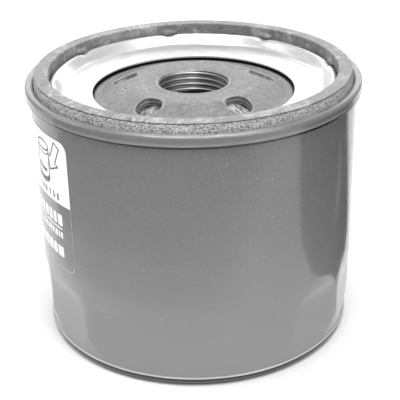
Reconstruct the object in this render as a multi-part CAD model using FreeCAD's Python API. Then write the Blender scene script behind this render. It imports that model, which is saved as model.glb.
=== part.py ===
"""Spin-on engine oil filter, threaded end up, standing on its closed end.

Frame: +Z is the filter's axis and points out of the threaded end. The origin is the
centre of the closed end, on the surface that the can stands on. Millimetres.
Each physical piece is its own solid in parts/NODE.step.
"""
import FreeCAD
import Part
import math
import os

V = FreeCAD.Vector

# ---------------------------------------------------------------- driving sizes
TOTAL_H = 76.0            # sealing face of the gasket above the closed end

# drawn can
CAN_R = 45.05             # outside radius of the wall
CAN_T = 0.40              # sheet
FOOT_R = 44.40            # round bead that the can stands in
FOOT_CORNER = 1.40        # outside radius under the bead
FOOT_TOP = 2.35
WAIST_R = 44.10           # wall just above the bead
WAIST_TOP = 3.40
TAPER_TOP = 9.0           # full radius from here up
PANEL_R = 27.0            # recessed panel in the closed end
PANEL_RISE = 1.6
FLATS = 14                # wrench flats round the closed end
FLAT_APOTHEM = 44.0       # axis to flat
FLAT_TOP = 19.0           # height at which a flat starts to run out
FLAT_FOOT = 2.60          # a flat's lower end, just above the bead
FLAT_RUNOUT_DEG = 23.0    # lean of the run-out face from vertical
FLAT_PHASE = -132.7       # one corner between two flats, degrees

# double seam, from outside to inside: cover, body hook, cover hook, wall, cover
SEAM_R = 46.5             # outside radius
SEAM_TOP = 73.6
SEAM_BOTTOM = 70.0
LID_T = 0.48
GAP = 0.03                # sealing film between seam layers

# gasket channel and cover
FLOOR_Z = 70.2            # top of the channel floor
CHANNEL_R_IN = 39.70      # channel's inner wall
RIDGE_TOP = 73.3
ANNULUS_R = 36.1
ANNULUS_Z = 70.35
COVER_HOLE_R = 28.2
COVER_HOLE_Z = 69.05

# gasket
GASKET_RI = 39.95
GASKET_RO = 43.95
GASKET_TOP_RO = 43.60     # outside edge of the sealing face
GASKET_NIBS = 8           # nibs on the inside wall
NIB_PROUD = 0.95
NIB_HALF_W = 2.45
NIB_PHASE = 10.7

# threaded plate
PLATE_T = 2.5
PLATE_R = 43.3
RIM_TOP = 69.66           # top of the plate's outer part, under the cover
HUB_TOP = 71.3
THREAD_MINOR = 19.05      # 13/16-16 UN, bored to the thread's minor diameter
COLLAR_R = 12.6
COLLAR_BOTTOM = 64.8
MOUTH_R = 9.80
INLETS = 5
INLET_R = 3.65
INLET_PCR = 20.0
INLET_PHASE = -126.0
CONE_DEG = 22.0

# element
ELEMENT_R = 38.85         # rim of the end caps, mid sheet
CAP_T = 0.50
UPPER_CAP_Z = 61.85       # mid sheet
LOWER_CAP_Z = 8.85
NECK_R = 17.0
NECK_TOP = 66.55
TUBE_R = 16.6
TUBE_T = 0.50
PLEATS = 48
PLEAT_RI = 17.2
PLEAT_RO = 37.9
PAPER_T = 0.80
MEDIA_Z0 = 10.7
MEDIA_Z1 = 60.0

# bypass valve
SEAT_R = 8.5
SEAT_Z = 10.75
POPPET_R = 9.5
CAGE_R = 11.2
CAGE_TOP = 23.5
BYPASS_LIFT = 3.5
SPRING_WIRE = 1.0
SPRING_R = 5.6

os.makedirs("parts", exist_ok=True)
made = {}


# ---------------------------------------------------------------- helpers
def out(name, shape):
    solids = shape.Solids
    shape = solids[0] if len(solids) == 1 else Part.makeCompound(solids)
    ok = shape.isValid() and all(s.isClosed() for s in solids)
    shape.exportStep("parts/%s.step" % name)
    made[name] = shape
    b = shape.BoundBox
    print("%-22s solids %2d valid %s vol %9.1f  z %6.2f..%6.2f r %.2f"
          % (name, len(solids), ok, shape.Volume, b.ZMin, b.ZMax, max(b.XMax, b.YMax)))


def pt(p):
    return V(p[0], 0, p[1])


def segments(points, radii):
    """Lines and tangent arcs through the points; radii are the interior corners'."""
    segs, cur = [], points[0]
    for i in range(1, len(points) - 1):
        p0, p1, p2 = points[i - 1], points[i], points[i + 1]
        d1 = (p1[0] - p0[0], p1[1] - p0[1])
        d2 = (p2[0] - p1[0], p2[1] - p1[1])
        l1, l2 = math.hypot(*d1), math.hypot(*d2)
        d1, d2 = (d1[0] / l1, d1[1] / l1), (d2[0] / l2, d2[1] / l2)
        cross = d1[0] * d2[1] - d1[1] * d2[0]
        dot = d1[0] * d2[0] + d1[1] * d2[1]
        turn = math.atan2(cross, dot)
        r = radii[i - 1]
        tl = r * math.tan(abs(turn) / 2)
        a = (p1[0] - d1[0] * tl, p1[1] - d1[1] * tl)
        b = (p1[0] + d2[0] * tl, p1[1] + d2[1] * tl)
        s = 1 if turn > 0 else -1
        c = (a[0] - d1[1] * r * s, a[1] + d1[0] * r * s)
        segs.append(("L", cur, a, d1))
        segs.append(("A", c, r, s, a, b, d1, turn))
        cur = b
    p0, p1 = points[-2], points[-1]
    l = math.hypot(p1[0] - p0[0], p1[1] - p0[1])
    segs.append(("L", cur, points[-1], ((p1[0] - p0[0]) / l, (p1[1] - p0[1]) / l)))
    return segs


def offset(segs, d):
    """Edges of the path shifted d to its left, as (kind, start, mid, end)."""
    res = []
    for s in segs:
        if s[0] == "L":
            _, a, b, t = s
            n = (-t[1] * d, t[0] * d)
            if math.hypot(b[0] - a[0], b[1] - a[1]) > 1e-6:
                res.append(("L", (a[0] + n[0], a[1] + n[1]), None, (b[0] + n[0], b[1] + n[1])))
        else:
            _, c, r, sg, a, b, t, turn = s
            rr = r - d * sg
            ang = math.atan2(a[1] - c[1], a[0] - c[0])
            f = lambda u: (c[0] + rr * math.cos(ang + turn * u), c[1] + rr * math.sin(ang + turn * u))
            res.append(("A", f(0), f(0.5), f(1)))
    return res


def edges_of(items, reverse=False):
    if reverse:
        items = [(k, e, m, s) for k, s, m, e in reversed(items)]
    es = []
    for k, s, m, e in items:
        if k == "L":
            es.append(Part.LineSegment(pt(s), pt(e)).toShape())
        else:
            es.append(Part.Arc(pt(s), pt(m), pt(e)).toShape())
    return es, items[0][1], items[-1][3]


def spin(edges):
    face = Part.Face(Part.Wire(Part.__sortEdges__(edges)))
    s = face.revolve(V(0, 0, 0), V(0, 0, 1), 360)
    if s.Volume < 0:
        s.reverse()
    return s


def sheet(points, radii, t):
    """A revolved sheet-metal section: the path is the middle of the sheet."""
    segs = segments(points, radii)
    l, ls, le = edges_of(offset(segs, t / 2.0))
    r, rs, re_ = edges_of(offset(segs, -t / 2.0), reverse=True)
    return spin(l + [Part.LineSegment(pt(le), pt(rs)).toShape()] + r
                + [Part.LineSegment(pt(re_), pt(ls)).toShape()])


def ring(points, radii=None):
    """A revolved closed polygon with optional rounded corners."""
    n = len(points)
    radii = radii or [0] * n
    es, starts = [], []
    for i in range(n):
        p0, p1, p2 = points[i - 1], points[i], points[(i + 1) % n]
        r = radii[i]
        if r == 0:
            starts.append((p1, p1, None))
            continue
        segs = segments([p0, p1, p2], [r])
        arc = offset(segs, 0)
        arc = [a for a in arc if a[0] == "A"][0]
        starts.append((arc[1], arc[3], arc[2]))
    for i in range(n):
        a, b, m = starts[i]
        if m:
            es.append(Part.Arc(pt(a), pt(m), pt(b)).toShape())
        nxt = starts[(i + 1) % n][0]
        if math.hypot(nxt[0] - b[0], nxt[1] - b[1]) > 1e-7:
            es.append(Part.LineSegment(pt(b), pt(nxt)).toShape())
    return spin(es)


def turned(shape, deg):
    s = shape.copy()
    s.rotate(V(0, 0, 0), V(0, 0, 1), deg)
    return s


def cyl(r, h, base, axis=V(0, 0, 1)):
    return Part.makeCylinder(r, h, base, axis)


# ---------------------------------------------------------------- can
def cup(t, runout_shift, top):
    """Solid that fills the can below z = top, shrunk by t; with its bead, waist and flats."""
    body = ring([(0, t + PANEL_RISE), (PANEL_R - 2.0, t + PANEL_RISE), (PANEL_R + 1.2, t),
                 (FOOT_R - t, t), (FOOT_R - t, FOOT_TOP), (WAIST_R - t, FOOT_TOP + 0.3),
                 (WAIST_R - t, WAIST_TOP), (CAN_R - t, TAPER_TOP), (CAN_R - t, top), (0, top)],
                [0, 2.2, 2.2, FOOT_CORNER - t, 0.25, 0.25, 3.0, 12.0, 0, 0])
    k = math.tan(math.radians(FLAT_RUNOUT_DEG))
    z0 = FLAT_TOP + runout_shift
    apothem = FLAT_APOTHEM - t
    poly = [V(apothem, -14, FLAT_FOOT), V(apothem, -14, z0), V(apothem + 4, -14, z0 + 4 / k),
            V(apothem + 12, -14, z0 + 4 / k), V(apothem + 12, -14, FLAT_FOOT)]
    wedge = Part.Face(Part.makePolygon(poly + [poly[0]])).extrude(V(0, 28, 0))
    step = 360.0 / FLATS
    tools = [turned(wedge, FLAT_PHASE + step * (i + 0.5)) for i in range(FLATS)]
    return body.cut(tools)


SPLIT = 30.0
outer = cup(0.0, 0.0, SPLIT)
inner = cup(CAN_T, 0.1, SPLIT + 5)
lower = outer.cut(inner)
HOOK_R1 = SEAM_R - LID_T - GAP - CAN_T / 2        # body hook, mid sheet
WALL_R = CAN_R - CAN_T / 2
CAN_TOP = SEAM_TOP - LID_T - GAP - CAN_T / 2      # mid sheet over the hook
r_hook = (HOOK_R1 - WALL_R) / 2 - 0.001
upper = sheet([(WALL_R, SPLIT), (WALL_R, CAN_TOP), (HOOK_R1, CAN_TOP), (HOOK_R1, 70.97)],
              [r_hook, r_hook], CAN_T)
can = lower.fuse(upper).removeSplitter()
out("can", can)

# ---------------------------------------------------------------- cover with gasket channel
cover_out = SEAM_R - LID_T / 2
cover_hook = WALL_R + CAN_T / 2 + GAP + LID_T / 2
chuck_r = WALL_R - CAN_T / 2 - GAP - LID_T / 2
r_bend = (cover_out - cover_hook) / 2 - 0.001
z_bend = SEAM_BOTTOM + LID_T / 2
top_z = SEAM_TOP - LID_T / 2
floor_z = FLOOR_Z - LID_T / 2
wall_in = CHANNEL_R_IN - LID_T / 2
cover = sheet([(cover_hook, 72.40), (cover_hook, z_bend), (cover_out, z_bend), (cover_out, top_z),
               (chuck_r, top_z), (chuck_r, floor_z), (wall_in, floor_z), (wall_in, RIDGE_TOP + 0.61),
               (ANNULUS_R, ANNULUS_Z), (COVER_HOLE_R, COVER_HOLE_Z)],
              [r_bend, r_bend, 0.8, 0.7, 0.7, 0.7, 0.6, 1.2], LID_T)
out("seaming_lid", cover)

# ---------------------------------------------------------------- threaded plate
ct = PLATE_T / 2
hub_z = HUB_TOP - ct
drop = 3.07
cone_in = 17.8
cone_out = cone_in + drop / math.tan(math.radians(CONE_DEG))
well_z = hub_z - drop                      # mid sheet, in the well round the hub
plate = sheet([(PLATE_R, RIM_TOP - ct), (34.2, RIM_TOP - ct), (31.0, RIM_TOP - ct - 0.53), (29.25, well_z - 0.05),
               (cone_out, well_z - 0.05), (cone_in, hub_z), (THREAD_MINOR / 2, hub_z)],
              [6.0, 3.6, 3.6, 3.0, 3.0], PLATE_T)
collar = ring([(THREAD_MINOR / 2, COLLAR_BOTTOM), (COLLAR_R, COLLAR_BOTTOM), (COLLAR_R, hub_z),
               (THREAD_MINOR / 2, hub_z)], [0, 0.6, 0, 0])
plate = plate.fuse([collar]).removeSplitter()
chamfer = ring([(0, HUB_TOP + 1), (MOUTH_R + 1, HUB_TOP + 1), (MOUTH_R, HUB_TOP),
                (THREAD_MINOR / 2 - 0.02, HUB_TOP - 0.45), (0, HUB_TOP - 0.45)])
plate = plate.cut(chamfer)
low_chamfer = ring([(0, COLLAR_BOTTOM - 1), (10.6, COLLAR_BOTTOM - 1), (10.35, COLLAR_BOTTOM),
                    (THREAD_MINOR / 2 - 0.02, COLLAR_BOTTOM + 0.6), (0, COLLAR_BOTTOM + 0.6)])
plate = plate.cut(low_chamfer)
# oil inlets, punched square to the cone
ca = math.radians(CONE_DEG)
holes = []
for i in range(INLETS):
    a = math.radians(INLET_PHASE + i * 360.0 / INLETS)
    n = V(math.sin(ca) * math.cos(a), math.sin(ca) * math.sin(a), math.cos(ca))
    zc = hub_z - (INLET_PCR - cone_in) * math.tan(ca)
    c = V(INLET_PCR * math.cos(a), INLET_PCR * math.sin(a), zc)
    holes.append(cyl(INLET_R, 12, c - n * 6, n))
plate = plate.cut(holes)
out("base_plate", plate)

# ---------------------------------------------------------------- spot welds between cover and plate
welds = []
for i in range(6):
    a = math.radians(30 + 60 * i)
    w = cyl(1.6, 2.0, V(31.2 * math.cos(a), 31.2 * math.sin(a), 68.6))
    w = w.cut([cover, plate])
    mid = [s for s in w.Solids if 68.6 < s.CenterOfMass.z < 69.9 and s.Volume < 3]
    mid.sort(key=lambda s: abs(s.CenterOfMass.z - 69.3))
    welds.append(mid[0])
out("spot_welds", Part.makeCompound(welds))

# ---------------------------------------------------------------- sealing compound in the seam
comp = ring([(HOOK_R1 - 0.16, 70.60), (HOOK_R1 + 0.16, 70.60), (HOOK_R1 + 0.16, 70.95),
             (HOOK_R1 - 0.16, 70.95)])
out("seam_compound", comp)

# ---------------------------------------------------------------- gasket
gasket = ring([(GASKET_RI, FLOOR_Z + 0.01), (GASKET_RO, FLOOR_Z + 0.01), (GASKET_RO, 73.6),
               (GASKET_TOP_RO, TOTAL_H), (GASKET_RI, TOTAL_H)], [0.5, 0.5, 0, 0.2, 0.3])
nibs = []
nib_r = (NIB_HALF_W ** 2 + NIB_PROUD ** 2) / (2 * NIB_PROUD)
for i in range(GASKET_NIBS):
    nib = cyl(nib_r, 1.3, V(GASKET_RI - NIB_PROUD + nib_r, 0, RIDGE_TOP + 0.12))
    nib = nib.common(cyl(GASKET_RI + 0.6, 5, V(0, 0, 72)))
    nibs.append(turned(nib, NIB_PHASE + 45 * i))
gasket = gasket.fuse(nibs).removeSplitter()
out("gasket", gasket)

# ---------------------------------------------------------------- label film on the wall
LABEL_T = 0.07
LABEL_A0, LABEL_A1 = 123.2, 223.2          # degrees round the can
LABEL_Z0, LABEL_Z1 = 27.2, 65.8
r0, r1 = CAN_R + 0.01, CAN_R + 0.01 + LABEL_T
band = ring([(r0, LABEL_Z0), (r1, LABEL_Z0), (r1, LABEL_Z1), (r0, LABEL_Z1)])
sector = Part.makeCylinder(60, 60, V(0, 0, 20), V(0, 0, 1), LABEL_A1 - LABEL_A0)
sector.rotate(V(0, 0, 0), V(0, 0, 1), LABEL_A0)
label = band.common(sector)
# rounded corners, radius 3
rc = 3.0
for ang, sa in ((LABEL_A0, 1), (LABEL_A1, -1)):
    for zc, sz in ((LABEL_Z0, 1), (LABEL_Z1, -1)):
        a = math.radians(ang)
        b = a + sa * rc / CAN_R
        corner = Part.makeBox(8, 2 * rc, 2 * rc, V(CAN_R - 4, -rc, -rc))
        plug = cyl(rc, 12, V(CAN_R - 6, 0, 0), V(1, 0, 0))
        tool = corner.cut(plug)
        # keep the quarter that faces the outside corner
        quarter = Part.makeBox(8, rc, rc, V(CAN_R - 4, -rc if sa > 0 else 0, -rc if sz > 0 else 0))
        tool = tool.common(quarter)
        tool.rotate(V(0, 0, 0), V(0, 0, 1), math.degrees(b))
        tool.translate(V(0, 0, zc + sz * rc))
        label = label.cut(tool)
out("label", label)

# ---------------------------------------------------------------- filter element
tube_z0, tube_z1 = LOWER_CAP_Z + CAP_T / 2 + 0.02, 63.0
tube = cyl(TUBE_R, tube_z1 - tube_z0, V(0, 0, tube_z0)).cut(
    cyl(TUBE_R - TUBE_T, tube_z1 - tube_z0, V(0, 0, tube_z0)))
drills = []
for row in range(6):
    z = 17.0 + row * 7.6
    for j in range(5):
        a = 36.0 * j + (18.0 if row % 2 else 0.0)
        d = cyl(2.4, 60, V(-30, 0, z), V(1, 0, 0))
        drills.append(turned(d, a))
tube = tube.cut(drills)
out("center_tube", tube)

upper_cap = sheet([(ELEMENT_R, 57.5), (ELEMENT_R, UPPER_CAP_Z), (NECK_R, UPPER_CAP_Z),
                   (NECK_R, NECK_TOP), (13.3, NECK_TOP)], [0.8, 0.6, 0.6], CAP_T)
out("upper_end_cap", upper_cap)

lower_cap = sheet([(ELEMENT_R, 13.4), (ELEMENT_R, LOWER_CAP_Z), (10.1, LOWER_CAP_Z),
                   (SEAT_R + 0.35, SEAT_Z - CAP_T / 2), (7.6, SEAT_Z - CAP_T / 2)],
                  [0.8, 0.6, 0.5], CAP_T)
out("lower_end_cap", lower_cap)

# folded paper: one closed zigzag
inner_pts, outer_pts = [], []
step = 2 * math.pi / PLEATS
pts = []


def polar(r, a):
    return (r * math.cos(a), r * math.sin(a))


PLEAT_PHASE = 0.0
# middle line of the paper: tip out, down a flank, tip in, up the next flank
loop = []
for i in range(PLEATS):
    a = PLEAT_PHASE + i * step
    w_out = 1.05 / PLEAT_RO
    w_in = 0.46 / PLEAT_RI
    loop += [polar(PLEAT_RO - 0.4, a - w_out), polar(PLEAT_RO - 0.4, a + w_out),
             polar(PLEAT_RI + 0.4, a + step / 2 - w_in), polar(PLEAT_RI + 0.4, a + step / 2 + w_in)]


def shifted(loop, d):
    n, res = len(loop), []
    for i in range(n):
        p0, p1, p2 = loop[i - 1], loop[i], loop[(i + 1) % n]
        d1 = (p1[0] - p0[0], p1[1] - p0[1])
        d2 = (p2[0] - p1[0], p2[1] - p1[1])
        l1, l2 = math.hypot(*d1), math.hypot(*d2)
        n1 = (-d1[1] / l1, d1[0] / l1)
        n2 = (-d2[1] / l2, d2[0] / l2)
        k = 1 + n1[0] * n2[0] + n1[1] * n2[1]
        m = ((n1[0] + n2[0]) / k, (n1[1] + n2[1]) / k)
        res.append((p1[0] + m[0] * d, p1[1] + m[1] * d))
    return res


def flat_face(loop, z):
    p = [V(x, y, z) for x, y in loop]
    return Part.Face(Part.makePolygon(p + [p[0]]))


big = flat_face(shifted(loop, -PAPER_T / 2), MEDIA_Z0)
small = flat_face(shifted(loop, PAPER_T / 2), MEDIA_Z0)
h = V(0, 0, MEDIA_Z1 - MEDIA_Z0)
a_, b_ = big.extrude(h), small.extrude(h)
if a_.Volume < b_.Volume:
    a_, b_ = b_, a_
media = a_.cut(b_)
out("pleated_media", media)

# clip over the pleat where the paper's two ends meet
cw = 1.30 + PAPER_T / 2 + 0.25
clip = Part.makeBox(6.0, 2 * (cw + 0.3), 44.0, V(PLEAT_RO - 5.3, -(cw + 0.3), 13.5)).cut(
    Part.makeBox(6.0, 2 * cw, 46.0, V(PLEAT_RO - 5.7, -cw, 12.5)))
clip = clip.cut(media)
out("media_clip", clip)

ri, ro = TUBE_R + 0.02, ELEMENT_R - CAP_T / 2 - 0.02
pot_u = ring([(ri, MEDIA_Z1), (ro, MEDIA_Z1), (ro, UPPER_CAP_Z - CAP_T / 2 - 0.01),
              (NECK_R + 0.85, UPPER_CAP_Z - CAP_T / 2 - 0.01), (ri, UPPER_CAP_Z - CAP_T / 2 - 0.01)],
             [0, 0, 0.6, 0, 0])
out("upper_potting", pot_u)
pot_l = ring([(ri, LOWER_CAP_Z + CAP_T / 2 + 0.01), (ro, LOWER_CAP_Z + CAP_T / 2 + 0.01),
              (ro, MEDIA_Z0), (ri, MEDIA_Z0)], [0, 0.6, 0, 0])
out("lower_potting", pot_l)

# ---------------------------------------------------------------- bypass valve in the lower cap
cage_z0 = LOWER_CAP_Z + CAP_T / 2 + 0.01
cage = sheet([(15.2, cage_z0 + 0.4), (CAGE_R, cage_z0 + 0.4), (CAGE_R, CAGE_TOP - 0.4), (3.0, CAGE_TOP - 0.4)],
             [0.7, 1.2], 0.8)
windows = []
for i in range(2):
    w = Part.makeBox(40, 9.0, 8.5, V(-20, -4.5, 11.8))
    windows.append(turned(w, 45 + 90 * i))
cage = cage.cut(windows)
out("bypass_cage", cage)

seal_z0 = SEAT_Z + 0.06
seal = ring([(2.55, seal_z0), (POPPET_R - 0.1, seal_z0), (POPPET_R - 0.1, seal_z0 + 1.4),
             (2.55, seal_z0 + 1.4)], [0, 0.3, 0.3, 0])
out("bypass_seal", seal)
pz = seal_z0 + 1.4
poppet = ring([(0, seal_z0 - 1.2), (3.3, seal_z0 - 1.2), (3.3, seal_z0 - 0.02), (2.5, seal_z0 - 0.02), (2.5, pz + 0.02),
               (POPPET_R, pz + 0.02), (POPPET_R, pz + 0.9), (4.3, pz + 0.9), (4.3, pz + 2.6),
               (2.6, pz + 2.6), (2.6, CAGE_TOP + 1.6), (0, CAGE_TOP + 1.6)],
              [0, 0.4, 0, 0, 0, 0.2, 0.3, 0.5, 0.2, 0, 0.5, 0])
out("bypass_poppet", poppet)

sz0, sz1 = pz + 0.9 + SPRING_WIRE / 2 + 0.03, CAGE_TOP - 0.8 - SPRING_WIRE / 2 - 0.03
turns = 6.0
sp_helix = Part.makeHelix((sz1 - sz0) / turns, sz1 - sz0, SPRING_R)
circle = Part.Wire([Part.makeCircle(SPRING_WIRE / 2, V(SPRING_R, 0, 0), V(0, 1, 0))])
spring = Part.Wire(sp_helix.Edges).makePipeShell([circle], True, True)
spring.translate(V(0, 0, sz0))
out("bypass_spring", spring)

# ---------------------------------------------------------------- anti-drainback valve
plate_under = hub_z - ct
flange_top = plate_under - 0.06
flange_bot = NECK_TOP + CAP_T / 2 + 0.04
adbv = ring([(12.95, flange_bot), (17.1, flange_bot), (23.9, 64.05), (28.3, 64.45), (28.8, 65.2),
             (24.9, 65.42), (16.0, flange_top), (12.95, flange_top)],
            [0, 0.8, 1.6, 0.3, 0.2, 1.2, 0.8, 0])
out("anti_drainback_valve", adbv)

# ---------------------------------------------------------------- leaf spring under the element
leaf = sheet([(10.6, 8.15), (16.0, 8.15), (30.5, 0.76), (35.6, 1.34)], [1.5, 3.0], 0.8)
cross = cyl(17.0, 14, V(0, 0, -1))
arms = [Part.makeBox(76, 11, 14, V(-38, -5.5, -1)), Part.makeBox(11, 76, 14, V(-5.5, -38, -1))]
shape2 = cross.fuse(arms)
leaf = leaf.common(shape2)
leaf.rotate(V(0, 0, 0), V(0, 0, 1), 20)
out("element_spring", leaf)

print("nodes", len(made))
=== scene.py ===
import math
import random

import bpy
import numpy as np
from mathutils import Matrix, Vector


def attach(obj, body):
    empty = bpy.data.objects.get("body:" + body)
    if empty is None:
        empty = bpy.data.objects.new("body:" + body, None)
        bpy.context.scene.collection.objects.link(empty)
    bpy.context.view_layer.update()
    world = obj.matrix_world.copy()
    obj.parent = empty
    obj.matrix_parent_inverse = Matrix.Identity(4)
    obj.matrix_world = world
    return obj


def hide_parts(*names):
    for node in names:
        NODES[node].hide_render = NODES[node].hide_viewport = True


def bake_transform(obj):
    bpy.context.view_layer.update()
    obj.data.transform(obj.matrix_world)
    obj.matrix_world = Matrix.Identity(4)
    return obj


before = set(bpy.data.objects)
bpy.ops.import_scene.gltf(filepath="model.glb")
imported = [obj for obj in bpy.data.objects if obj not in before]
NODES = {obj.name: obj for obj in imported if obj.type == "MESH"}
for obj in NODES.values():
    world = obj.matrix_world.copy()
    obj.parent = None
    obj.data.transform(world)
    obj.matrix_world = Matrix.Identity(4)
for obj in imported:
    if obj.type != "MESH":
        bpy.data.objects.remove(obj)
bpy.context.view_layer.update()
MM = 0.001
random.seed(7)
RNG = np.random.default_rng(11)


# ------------------------------------------------------------------ mesh code
def samples(points, radii, ease=0.22, arc_step=9.0):
    """(x, y, nx, ny) along lines and tangent arcs through the points, in mm; n is the left normal."""
    out = []

    def add(p, n):
        if not out or math.hypot(out[-1][0] - p[0], out[-1][1] - p[1]) > 1e-5:
            out.append((p[0], p[1], n[0], n[1]))

    def line(a, b):
        length = math.hypot(b[0] - a[0], b[1] - a[1])
        if length < 1e-6:
            return
        t = ((b[0] - a[0]) / length, (b[1] - a[1]) / length)
        n = (-t[1], t[0])
        us = [0.0, 1.0] if length < 3.2 * ease else [0.0, ease / length, 1 - ease / length, 1.0]
        for u in us:
            add((a[0] + (b[0] - a[0]) * u, a[1] + (b[1] - a[1]) * u), n)

    cur = points[0]
    for i in range(1, len(points) - 1):
        p0, p1, p2 = points[i - 1], points[i], points[i + 1]
        d1 = Vector((p1[0] - p0[0], p1[1] - p0[1])).normalized()
        d2 = Vector((p2[0] - p1[0], p2[1] - p1[1])).normalized()
        turn = math.atan2(d1.x * d2.y - d1.y * d2.x, d1.dot(d2))
        r = radii[i - 1]
        tl = r * math.tan(abs(turn) / 2)
        a = (p1[0] - d1.x * tl, p1[1] - d1.y * tl)
        line(cur, a)
        s = 1 if turn > 0 else -1
        c = (a[0] - d1.y * r * s, a[1] + d1.x * r * s)
        ang = math.atan2(a[1] - c[1], a[0] - c[0])
        n = max(3, int(math.ceil(abs(math.degrees(turn)) / arc_step)))
        for k in range(n + 1):
            u = ang + turn * k / n
            radial = (math.cos(u), math.sin(u))
            add((c[0] + r * radial[0], c[1] + r * radial[1]), (-radial[0] * s, -radial[1] * s))
        cur = (p1[0] + d2.x * tl, p1[1] + d2.y * tl)
    line(cur, points[-1])
    return out


def section(points, radii, t, extra=None):
    """Closed outline of a bent sheet whose middle is the path; also says which side each point is on."""
    path = samples(points, radii)
    if extra:
        path = denser(path, extra)
    left = [(x + nx * t / 2, y + ny * t / 2, 1) for x, y, nx, ny in path]
    right = [(x - nx * t / 2, y - ny * t / 2, -1) for x, y, nx, ny in reversed(path)]
    pts = left + right
    area = sum(a[0] * b[1] - b[0] * a[1] for a, b in zip(pts, pts[1:] + pts[:1]))
    return pts if area > 0 else pts[::-1]


def denser(path, step):
    """Adds samples so that no two are further apart than step(x, y)."""
    out = [path[0]]
    for a, b in zip(path, path[1:]):
        length = math.hypot(b[0] - a[0], b[1] - a[1])
        lim = step((a[0] + b[0]) / 2, (a[1] + b[1]) / 2)
        n = max(1, int(math.ceil(length / lim)))
        for k in range(1, n + 1):
            u = k / n
            out.append(tuple(a[i] + (b[i] - a[i]) * u for i in range(4)))
    return out


def outline(points, radii, arc_step=12.0, ease=0.15, step=None):
    """Closed polygon (mm) with rounded corners, counter-clockwise."""
    out = []
    n = len(points)
    for i in range(n):
        p0, p1, p2 = points[i - 1], points[i], points[(i + 1) % n]
        r = radii[i]
        d1 = Vector((p1[0] - p0[0], p1[1] - p0[1])).normalized()
        d2 = Vector((p2[0] - p1[0], p2[1] - p1[1])).normalized()
        turn = math.atan2(d1.x * d2.y - d1.y * d2.x, d1.dot(d2))
        if r <= 0 or abs(turn) < 1e-4:
            out.append((p1[0], p1[1]))
            continue
        tl = r * math.tan(abs(turn) / 2)
        a = (p1[0] - d1.x * tl, p1[1] - d1.y * tl)
        s = 1 if turn > 0 else -1
        c = (a[0] - d1.y * r * s, a[1] + d1.x * r * s)
        ang = math.atan2(a[1] - c[1], a[0] - c[0])
        m = max(3, int(math.ceil(abs(math.degrees(turn)) / arc_step)))
        out.append((a[0] - d1.x * ease, a[1] - d1.y * ease))
        for k in range(m + 1):
            u = ang + turn * k / m
            out.append((c[0] + r * math.cos(u), c[1] + r * math.sin(u)))
        b = out[-1]
        out.append((b[0] + d2.x * ease, b[1] + d2.y * ease))
    if step:
        full = []
        for a, b in zip(out, out[1:] + out[:1]):
            length = math.hypot(b[0] - a[0], b[1] - a[1])
            m = max(1, int(math.ceil(length / step)))
            full += [(a[0] + (b[0] - a[0]) * k / m, a[1] + (b[1] - a[1]) * k / m) for k in range(m)]
        out = full
    area = sum(a[0] * b[1] - b[0] * a[1] for a, b in zip(out, out[1:] + out[:1]))
    return out if area > 0 else out[::-1]


def make(name, verts, faces, sharp=32.0):
    me = bpy.data.meshes.new(name)
    me.from_pydata([tuple(v) for v in verts], [], faces)
    me.validate()
    me.polygons.foreach_set("use_smooth", [True] * len(me.polygons))
    me.set_sharp_from_angle(angle=math.radians(sharp))
    me.update()
    o = bpy.data.objects.new(name, me)
    bpy.context.scene.collection.objects.link(o)
    return o


def lathe(name, pts, seg, warp=None, start=0.0, closed=True, sharp=32.0, groups=None, thetas=None):
    """Turns an outline (r, z[, side]) in mm about Z. warp(R, T, Z, S) returns new R, T, Z in mm."""
    R = np.array([p[0] for p in pts], float)
    Z = np.array([p[1] for p in pts], float)
    S = np.array([p[2] if len(p) > 2 else 0 for p in pts], float)
    T = start + np.arange(seg) * 2 * math.pi / seg if thetas is None else np.array(thetas)
    seg = len(T)
    RR, TT = np.meshgrid(R, T, indexing="ij")
    ZZ = np.repeat(Z[:, None], seg, 1)
    SS = np.repeat(S[:, None], seg, 1)
    if warp:
        RR, TT, ZZ = warp(RR, TT, ZZ, SS)
    X, Y = RR * np.cos(TT) * MM, RR * np.sin(TT) * MM
    n = len(pts)
    index = np.arange(n * seg).reshape(n, seg)
    verts = np.stack([X, Y, ZZ * MM], -1).reshape(-1, 3)
    polar = [i for i in range(n) if R[i] < 1e-6]
    for i in polar:
        index[i, :] = index[i, 0]
    faces, tags = [], []
    rows = n if closed else n - 1
    for i in range(rows):
        k = (i + 1) % n
        if i in polar and k in polar:
            continue
        for j in range(seg):
            m = (j + 1) % seg
            f = (index[i, j], index[i, m], index[k, m], index[k, j])
            if i in polar:
                f = (index[i, j], index[k, m], index[k, j])
            elif k in polar:
                f = (index[i, j], index[i, m], index[k, j])
            faces.append(tuple(int(x) for x in f))
            tags.append(i)
    used = sorted({v for f in faces for v in f})
    if len(used) < len(verts):
        remap = {v: u for u, v in enumerate(used)}
        verts = verts[used]
        faces = [tuple(remap[v] for v in f) for f in faces]
    o = make(name, verts, faces, sharp)
    if groups:
        o.data.polygons.foreach_set("material_index", [groups(i, pts) for i in tags])
    return o


def wave(x):
    return 0.5 + 0.5 * np.cos(x)


def smooth(a, b, x):
    t = np.clip((x - a) / (b - a), 0, 1)
    return t * t * (3 - 2 * t)


def wrap(a):
    return (a + math.pi) % (2 * math.pi) - math.pi


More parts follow.
